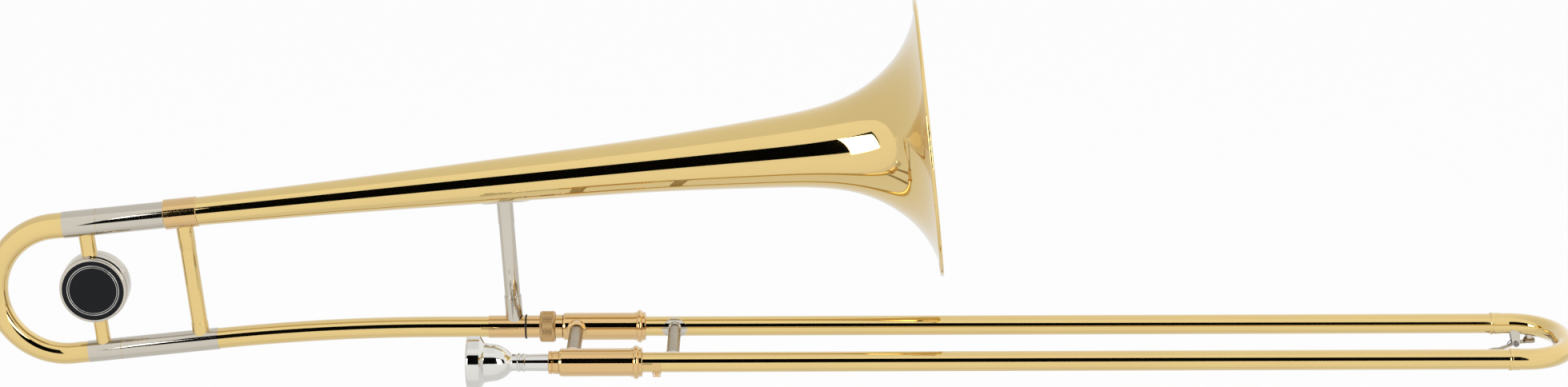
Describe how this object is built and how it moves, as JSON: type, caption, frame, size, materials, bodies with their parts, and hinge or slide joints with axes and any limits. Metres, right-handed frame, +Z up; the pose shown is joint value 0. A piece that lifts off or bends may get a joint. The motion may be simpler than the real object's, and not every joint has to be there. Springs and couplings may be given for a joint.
{
  "type": "tenor trombone",
  "caption": "Straight tenor trombone with a sliding U of tubes, flared bell, tuning slide with balance weight, water key, slide lock and cup mouthpiece.",
  "frame": {"origin": "middle of the inner slide brace, halfway between the two slide legs, where the left hand holds it", "axes": "+X along the slide towards its bow, +Y from the mouthpiece leg to the bell leg, +Z up towards the bell"},
  "size_m": [1.1631, 0.2027, 0.2716],
  "materials": {
    "lacquered_brass": "polished, clear lacquer",
    "rose_brass": "polished, clear lacquer",
    "nickel_silver": "polished nickel silver",
    "plated_tube": "hard chrome plate",
    "silver_plate": "silver plate",
    "steel": "bright steel",
    "rubber": "moulded",
    "felt": "pressed felt",
    "cork": "natural cork",
    "black_enamel": "gloss with plain silver rings"
  },
  "bodies": {
    "inner_slide": {"bell_tenon": "rose_brass", "upper_cork_barrel": "rose_brass", "upper_barrel_ring": "rose_brass", "upper_inner_tube": "plated_tube", "upper_felt": "felt", "lower_cork_barrel": "rose_brass", "lower_inner_tube": "plated_tube", "lower_felt": "felt", "leadpipe": "lacquered_brass", "mouthpiece_receiver": "rose_brass", "inner_brace_tube": "nickel_silver", "upper_inner_socket": "rose_brass", "lower_inner_socket": "rose_brass"},
    "outer_slide": {"upper_outer_tube": "lacquered_brass", "lower_outer_tube": "lacquered_brass", "upper_brace_saddle": "nickel_silver", "lower_brace_saddle": "nickel_silver", "outer_brace_tube": "nickel_silver", "lock_stud": "rose_brass", "upper_bow_ferrule": "lacquered_brass", "lower_bow_ferrule": "lacquered_brass", "slide_bow": "lacquered_brass", "bumper_boss": "nickel_silver", "bumper": "rubber", "water_key_nipple": "nickel_silver", "water_key_saddle": "nickel_silver", "water_key_screw": "steel"},
    "water_key": {"water_key_lever": "nickel_silver", "water_key_cork": "cork", "water_key_spring": "steel"},
    "slide_lock": {"slide_lock": "rose_brass"},
    "lock_nut": {"lock_nut": "rose_brass"},
    "bell_section": {"bell": "lacquered_brass", "bell_rim_wire": "lacquered_brass", "bell_ferrule": "rose_brass", "upper_outer_sleeve": "nickel_silver", "lower_outer_sleeve": "nickel_silver", "gooseneck": "lacquered_brass", "bell_receiver": "rose_brass", "receiver_rubber_ring": "rubber", "rear_brace_tube": "lacquered_brass", "rear_upper_socket": "lacquered_brass", "rear_lower_socket": "lacquered_brass", "main_brace_tube": "nickel_silver", "main_upper_socket": "nickel_silver", "main_lower_socket": "nickel_silver", "main_brace_saddle": "nickel_silver"},
    "tuning_slide": {"crook": "lacquered_brass", "upper_crook_ferrule": "nickel_silver", "lower_crook_ferrule": "nickel_silver", "upper_tuning_leg": "lacquered_brass", "lower_tuning_leg": "lacquered_brass", "upper_weight_post": "lacquered_brass", "lower_weight_post": "lacquered_brass", "weight_drum": "nickel_silver", "weight_bezel": "nickel_silver", "emblem_disc": "black_enamel"},
    "mouthpiece": {"mouthpiece": "silver_plate"}
  },
  "joints": [
    {"name": "hand_slide", "type": "slide", "parent": "inner_slide", "child": "outer_slide", "axis": [1, 0, 0], "range_m": [0, 0.6]},
    {"name": "water_key_hinge", "type": "hinge", "parent": "outer_slide", "child": "water_key", "pos_m": [0.686, 0.0375, -0.0134], "axis": [0, 1, 0], "range_deg": [0, 18], "stiffness_Nm_per_rad": 0.08, "springref_deg": -20.05},
    {"name": "slide_lock_turn", "type": "hinge", "parent": "inner_slide", "child": "slide_lock", "pos_m": [0.0463, -0.04, 0], "axis": [1, 0, 0], "range_deg": [0, 26]},
    {"name": "lock_nut_turn", "type": "hinge", "parent": "inner_slide", "child": "lock_nut", "pos_m": [-0.0214, 0.04, 0], "axis": [1, 0, 0], "continuous": true},
    {"name": "bell_turn", "type": "hinge", "parent": "inner_slide", "child": "bell_section", "pos_m": [-0.036, 0.04, 0], "axis": [-1, 0, 0], "range_deg": [-35, 90]},
    {"name": "tuning_slide_pull", "type": "slide", "parent": "bell_section", "child": "tuning_slide", "axis": [-0.9947, 0, -0.1024], "range_m": [0, 0.055]},
    {"name": "mouthpiece_pull", "type": "slide", "parent": "inner_slide", "child": "mouthpiece", "axis": [-1, 0, 0], "range_m": [0, 0.03]}
  ]
}
